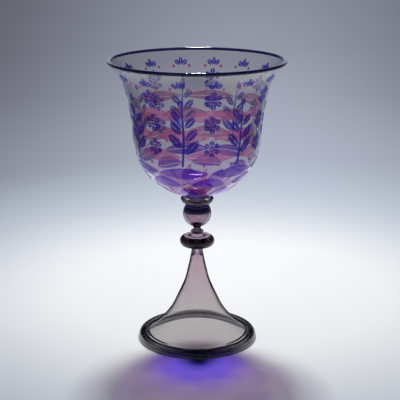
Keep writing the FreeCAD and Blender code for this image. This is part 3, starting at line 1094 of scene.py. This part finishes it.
def pad_core():
    """The reddish heart of the pad, which bends no light and stops a little of it."""
    tree = new_material("pad_core")[1]
    tint = noise_tint(tree, ((0.50, 0.10, 0.30), (0.80, 0.22, 0.46)), 160.0)
    body = mixed(tree, pad_core_share, clear_film(tree, tint), node(tree, "BsdfDiffuse", tint))
    finished(tree, mixed(tree, node(tree, "LightPath", result="Is Shadow Ray"), body,
                         clear_film(tree, (0.9, 0.85, 0.98))))


def ring_at(tree, level, half):
    """One at a level and none a little above and below it."""
    rise = by_level(tree, (level - half, -1.0), (level + half, 1.0))
    return maths(tree, "SUBTRACT", 1.0, maths(tree, "ABSOLUTE", rise))


def blue_crown(tree):
    """A painted reflection of the bowl's violet bottom on the top of the ball: a faint blue glint
    and a brighter painted ring in it.
    """
    low, high = [ball_level + rise for rise in ball_glint_rises]
    crown = by_level(tree, (low, 0.0), (high, ball_glint_share))
    ring = ring_at(tree, saucer_level - ball_glint_ring_drop, ball_glint_ring_half)
    return maths(tree, "MAXIMUM", crown, maths(tree, "MULTIPLY", ring, ball_glint_ring_share))


def disc_straight(tree):
    """The disc's flat top, and its skin wherever light comes out of it."""
    low, high = [disc_top - depth for depth in disc_skin_depths]
    top = by_level(tree, (low, 0.0), (high, disc_straight_share))
    out = node(tree, "NewGeometry", result="Backfacing")
    return maths(tree, "MAXIMUM", top, maths(tree, "MULTIPLY", out, disc_straight_share))


def collar_straight(tree):
    low, high = [collar_level + rise for rise in collar_skirt_rises]
    return by_level(tree, (low, collar_straight_share), (high, 0.0))


# A painted sheen: pale lines along the edges of the lip thread, where it is seen edge on.
def lip_film(tree):
    return maths(tree, "MULTIPLY", edge_on(tree, 0.60, 0.85), lip_sheen_share)


# Mauve on the spool that thins towards its sides, which are left dark as painted shade.
def spool_film(tree):
    return maths(tree, "SUBTRACT", spool_film_share, edge_on(tree, 0.15, 0.4))


# A painted highlight: a pale line round the rolled rim near the table.
def rim_film(tree):
    return maths(tree, "MULTIPLY", ring_at(tree, rim_highlight_level, rim_highlight_half), rim_highlight_share)


# A painted highlight: the upper part of the base lip is made pale.
def base_film(tree):
    low, high = base_highlight_levels
    return by_level(tree, (low, 0.0), (high, base_highlight_share))


def rim_tint(tree):
    dark = noise_tint(tree, ((0.34, 0.34, 0.36), (0.44, 0.44, 0.46)), 70.0)
    return radial_tint(tree, rim_tint_radii, ((0.88, 0.88, 0.87), dark))


# Painted shade: the outer part of the rolled rim darkens almost to black where it is seen edge on.
def rim_edge(tree):
    return radial_tint(tree, rim_tint_radii, ((0.8, 0.8, 0.8), (0.10, 0.10, 0.13)))


# Nearly clear glass that darkens towards the saucer's edge, a painted shade for its dark tips.
def saucer_tint(tree):
    radii = [saucer_radius * share for share in saucer_painted_rim_shares]
    return radial_tint(tree, radii, (nearly_clear, (0.10, 0.08, 0.15)))


disc_painted_streak_levels = [disc_bottom + rise for rise in disc_painted_streak_rises]
foot_tint = layered(((foot_grey_level, (0.735, 0.725, 0.72)),
                     (foot_mauve_level, (0.685, 0.575, 0.625))), 40.0)
violet_shade = clouded((0.18, 0.13, 0.86), (0.24, 0.18, 0.88), 90.0)
bowl_shade = layered(((bowl_level, (0.31, 0.22, 0.92)), (bowl_low_level, (0.32, 0.215, 0.84)),
                      (bowl_belly_level, (0.45, 0.315, 0.50)),
                      (bowl_clear_level, (0.54, 0.51, 0.52))), 40.0)

joint_glass = fused_joint()
core_skin()
pad_core()
bowl_glass = glass(
    "bowl_glass", layered((
        (bowl_level, (0.80, 0.54, 0.86)), (bowl_belly_level, (0.80, 0.69, 0.84)),
        (bowl_clear_level, (0.80, 0.76, 0.79)), (lip_seat_level, (0.79, 0.78, 0.78))), 25.0),
    edge=((0.56, 0.61, 0.76), 0.45, 0.80), shade=bowl_shade)
lip_glass = glass(
    "lip_glass", clouded((0.015, 0.015, 0.09), (0.03, 0.03, 0.15), 60.0),
    film_and_painted_highlight=((0.62, 0.68, 0.82), lip_film), shade=clouded((0.02, 0.02, 0.06), (0.03, 0.03, 0.08), 60.0))
neck_glass = glass(
    "neck_glass", layered((
        (flange_level, nearly_clear), (flange_middle + flange_clear_rise, nearly_clear),
        (flange_middle + flange_dark_rise, (0.06, 0.04, 0.11)), (pad_level, (0.05, 0.035, 0.10))),
        20.0), shade=violet_shade)
pad_glass = glass(
    "pad_glass", clouded((0.60, 0.30, 0.50), (0.70, 0.38, 0.58), 120.0),
    edge=((0.10, 0.03, 0.12), 0.4, 0.8), shade=violet_shade)
saucer_glass = glass("saucer_glass", saucer_tint, painted_outline=(painted_edge_black, 0.6, 0.9),
                     shade=violet_shade)
bead_glass = glass("bead_glass", clouded((0.96, 0.95, 0.97), (0.99, 0.98, 0.99), 90.0))
stem_glass = glass(
    "stem_glass", clouded((0.515, 0.405, 0.495), (0.57, 0.45, 0.545), 110.0),
    edge=((0.26, 0.20, 0.29), 0.25, 0.65), painted_outline=(painted_edge_black, 0.58, 0.85),
    film_and_painted_highlight=((0.34, 0.28, 1.0), blue_crown))
# The disc's tints are painted light: nearly black low down as painted shade, a pink painted highlight
# streak across it, and mauve at the top.
disc_glass = glass(
    "disc_glass", layered((
        (disc_bottom, (0.04, 0.03, 0.045)), (disc_painted_streak_levels[0], (0.07, 0.045, 0.06)),
        (disc_painted_streak_levels[1], (0.40, 0.20, 0.26)), (disc_painted_streak_levels[2], (0.07, 0.045, 0.06)),
        (disc_top - disc_top_depth, (0.10, 0.07, 0.09)), (disc_top, (0.78, 0.64, 0.74))), 60.0),
    leaving=(0.72, 0.58, 0.68), painted_outline=(painted_edge_black, 0.80, 0.95),
    straight=(disc_skin, disc_straight),
    shade=clouded((0.50, 0.38, 0.48), (0.58, 0.45, 0.55), 110.0))
# Painted shade: the plug's sides are darkened almost to black.
plug_glass = glass(
    "plug_glass", clouded((0.70, 0.57, 0.67), (0.76, 0.63, 0.73), 110.0),
    edge=(painted_edge_black, 0.20, 0.42), painted_outline=(painted_edge_black, 0.45, 0.70))
spool_glass = glass(
    "spool_glass", clouded((0.74, 0.60, 0.71), (0.80, 0.67, 0.77), 110.0),
    edge=(painted_edge_black, 0.30, 0.55), film_and_painted_highlight=((0.52, 0.38, 0.48), spool_film),
    straight=(disc_skin, collar_straight))
foot_glass = glass(
    "foot_glass", foot_tint, painted_outline=(
        painted_edge_black, ((painted_outline_low_level, 0.74), (painted_outline_high_level, 0.30)),
        ((painted_outline_low_level, 0.90), (painted_outline_high_level, 0.52))))
foot_lining = glass("foot_lining", foot_tint, edge=((0.30, 0.26, 0.30), 0.75, 0.97))
rim_glass = glass("rim_glass", rim_tint, edge=(rim_edge, 0.3, 0.75),
                  film_and_painted_highlight=((0.92, 0.92, 0.94), rim_film))
base_glass = glass(
    "base_glass", clouded((0.34, 0.34, 0.37), (0.42, 0.42, 0.45), 70.0),
    edge=(painted_edge_black, 0.4, 0.8), film_and_painted_highlight=((0.90, 0.90, 0.92), base_film))
violet_leaf_glass = glass(
    "violet_leaf_glass", engraved(violet_ground, 90.0, (0.80, 0.60, 0.85), leaf_lines, leaf_spots),
    cloudy=(0.20, (0.10, 0.04, 0.62)))
violet_wave_glass = glass(
    "violet_wave_glass", engraved(wave_ground, 60.0, (0.85, 0.45, 0.75), wave_lines, wave_spots),
    cloudy=(0.08, (0.14, 0.04, 0.60)), shade=clouded((0.50, 0.36, 0.80), (0.60, 0.44, 0.84), 60.0))
violet_petal_glass = glass(
    "violet_petal_glass", engraved(petal_ground, 90.0, (0.86, 0.60, 0.85), petal_lines),
    cloudy=(0.08, (0.20, 0.10, 0.8)), shade=clouded((0.50, 0.40, 0.90), (0.58, 0.48, 0.92), 90.0))
rose_glass = glass("rose_overlay_glass", clouded(*rose_ground, 90.0), cloudy=rose_haze)
rose_cloud_glass = glass(
    "rose_cloud_glass", engraved(rose_ground, 60.0, (0.92, 0.74, 0.86), cloud_lines),
    cloudy=rose_haze)


# Studio

floor_centre = (0.03, 0.12)
floor_reach = 4.0
# A painted falloff of the studio light: the floor's colour by the distance from its centre.
floor_painted_falloff = ((0.0, (244, 245, 246)), (0.155, (244, 244, 246)), (0.26, (211, 216, 224)),
               (0.38, (180, 190, 203)), (0.60, (178, 184, 200)), (1.05, (165, 169, 185)),
               (1.8, (148, 151, 167)), (4.0, (134, 138, 151)))
far_floor_ring = (0.36, 0.62)
# A painted brighter band across the floor, with painted shade to its sides.
side_glow = 0.3
side_glow_width = 0.185
side_glow_turn = 0.042
side_glow_start = 0.96
side_glow_least_depth = 2.2
side_glow_near = 0.03
side_glow_ring = (0.22, 0.55)
air_stops = ((0.02, (118, 126, 143)), (0.22, (8, 9, 13)))
lamp_aim = Vector((0.0, 0.0, 0.1))
lamp_distance = 1.7
lamp_elevation = math.radians(66)
lamp_aside = 0.01
lamp_size = 0.22
lamp_watts = 33.0


def floor_material():
    """Pale near the goblet, where it takes the lamp's light and the goblet's shadow, and further
    off a soft grey glow that cameras and glass see. Its colour is painted light: a painted
    falloff of the studio light that greys with the distance, and painted shade towards the
    sides, away from a brighter band."""
    material, tree = new_material("studio_floor")
    place = node(tree, "TexCoord", result="Object")
    level = node(tree, "Mapping", place, (-floor_centre[0], -floor_centre[1], 0))
    away = node(tree, "VectorMath", level, operation="LENGTH", result="Value")
    root = maths(tree, "POWER", maths(tree, "DIVIDE", away, floor_reach), 0.5)
    # Painted light: the colour rings are a painted falloff of the studio light.
    rings = [(math.sqrt(distance / floor_reach), linear(c)) for distance, c in floor_painted_falloff]
    colour = ramped(tree, root, rings, "B_SPLINE")
    # Painted shade towards the sides, away from a brighter band.
    depth = maths(tree, "ADD", maths(tree, "ABSOLUTE", place_part(tree, "Y")), side_glow_start)
    depth = maths(tree, "MAXIMUM", depth, side_glow_least_depth)
    turn = maths(tree, "DIVIDE", place_part(tree, "X"), depth)
    off = maths(tree, "DIVIDE", maths(tree, "SUBTRACT", turn, side_glow_turn), side_glow_width)
    bell = maths(tree, "EXPONENT", maths(tree, "MULTIPLY", maths(tree, "MULTIPLY", off, off), -1))
    most = ranged(tree, away, *side_glow_ring, side_glow_near, 1 - side_glow)
    lost = maths(tree, "MULTIPLY", maths(tree, "SUBTRACT", 1.0, bell), most)
    shade = node(tree, "VectorMath", colour, operation="SCALE",
                 Scale=maths(tree, "SUBTRACT", 1.0, lost))
    far = ranged(tree, away, *far_floor_ring, soft=True)
    finished(tree, mixed(tree, far, node(tree, "BsdfDiffuse", shade),
                         node(tree, "Emission", shade, 1.0)))
    return material


def studio_floor():
    deselect()
    bpy.ops.mesh.primitive_circle_add(vertices=96, radius=floor_reach, fill_type="NGON")
    floor = bpy.context.object
    floor.name = "studio_floor"
    floor.data.materials.append(floor_material())


def studio_world():
    """Dim studio air: dark overhead, a little lighter at the horizon."""
    world = bpy.data.worlds.new("studio")
    bpy.context.scene.world = world
    world.use_nodes = True
    tree = world.node_tree
    tree.nodes.clear()
    air = ramped(tree, place_part(tree, "Z", "Generated"),
                 [(place, linear(colour)) for place, colour in air_stops])
    finished(tree, node(tree, "Background", air, 1.0), "OutputWorld")


def added(name, data):
    """A lamp or camera put in the scene."""
    thing = bpy.data.objects.new(name, data)
    bpy.context.scene.collection.objects.link(thing)
    return thing


def studio_lamp():
    direction = Vector((-lamp_aside, math.cos(lamp_elevation), math.sin(lamp_elevation)))
    direction.normalize()
    light = bpy.data.lights.new("key_lamp", "AREA")
    light.shape = "SQUARE"
    light.size = lamp_size
    light.energy = lamp_watts
    lamp = added("key_lamp", light)
    lamp.location = lamp_aim + direction * lamp_distance
    lamp.rotation_euler = direction.to_track_quat("Z", "Y").to_euler()


def studio_camera():
    data = bpy.data.cameras.new("camera")
    data.lens = camera_lens
    data.sensor_width = camera_sensor
    data.clip_start = 0.01
    data.clip_end = 20.0
    camera = added("camera", data)
    camera.location = camera_place
    camera.rotation_euler = (math.pi / 2 - camera_pitch, 0, 0)
    bpy.context.scene.camera = camera


# Putting it together. Each piece is made by the function that has its node's name.

turned_pieces = (
    (foot_base_lip, base_glass, "foot_glass"),
    (foot_roll, rim_glass, "foot_glass"),
    (trumpet_foot, foot_glass, "foot_glass"),
    (foot_plug, plug_glass, "stem_glass"),
    (disc_knop, disc_glass, "stem_glass"),
    (disc_collar, spool_glass, "stem_glass"),
    (neck_bead, bead_glass, "clear_glass"),
    (neck_spool, spool_glass, "stem_glass"),
    (ball_knop, stem_glass, "stem_glass"),
    (saucer_merese, saucer_glass, "clear_glass"),
    (neck_flange, neck_glass, "neck_glass"),
    (bowl_base_pad, pad_glass, "pad_glass"),
    (bowl_wall, bowl_glass, "bowl_glass"),
    (lip_wrap, lip_glass, "lip_glass"),
)
overlays = (
    (violet_fronds, violet_leaf_glass, "violet_overlay"),
    (violet_blossoms, violet_leaf_glass, "violet_overlay"),
    (violet_sprigs, violet_leaf_glass, "violet_overlay"),
    (violet_waves, violet_wave_glass, "violet_overlay"),
    (violet_calyx, violet_petal_glass, "violet_overlay"),
    (rose_calyx, rose_glass, "rose_overlay"),
    (rose_clouds, rose_cloud_glass, "rose_overlay"),
    (rose_dots, rose_glass, "rose_overlay"),
)
linings = {"trumpet_foot": foot_lining}


def hand_over(piece, cad_node, material):
    """Gives a piece its glass and puts it in its node's place."""
    dress(piece, material, joint_glass, linings.get(cad_node))
    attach(piece, "root")
    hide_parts(cad_node)


for make, material, slot in turned_pieces:
    hand_over(make(), make.__name__, material)
bowl = bpy.data.objects["bowl"]
for make, material, slot in overlays:
    hand_over(make(bowl), make.__name__, material)

studio_floor()
studio_world()
studio_lamp()
studio_camera()
bpy.context.scene.view_settings.view_transform = "Standard"
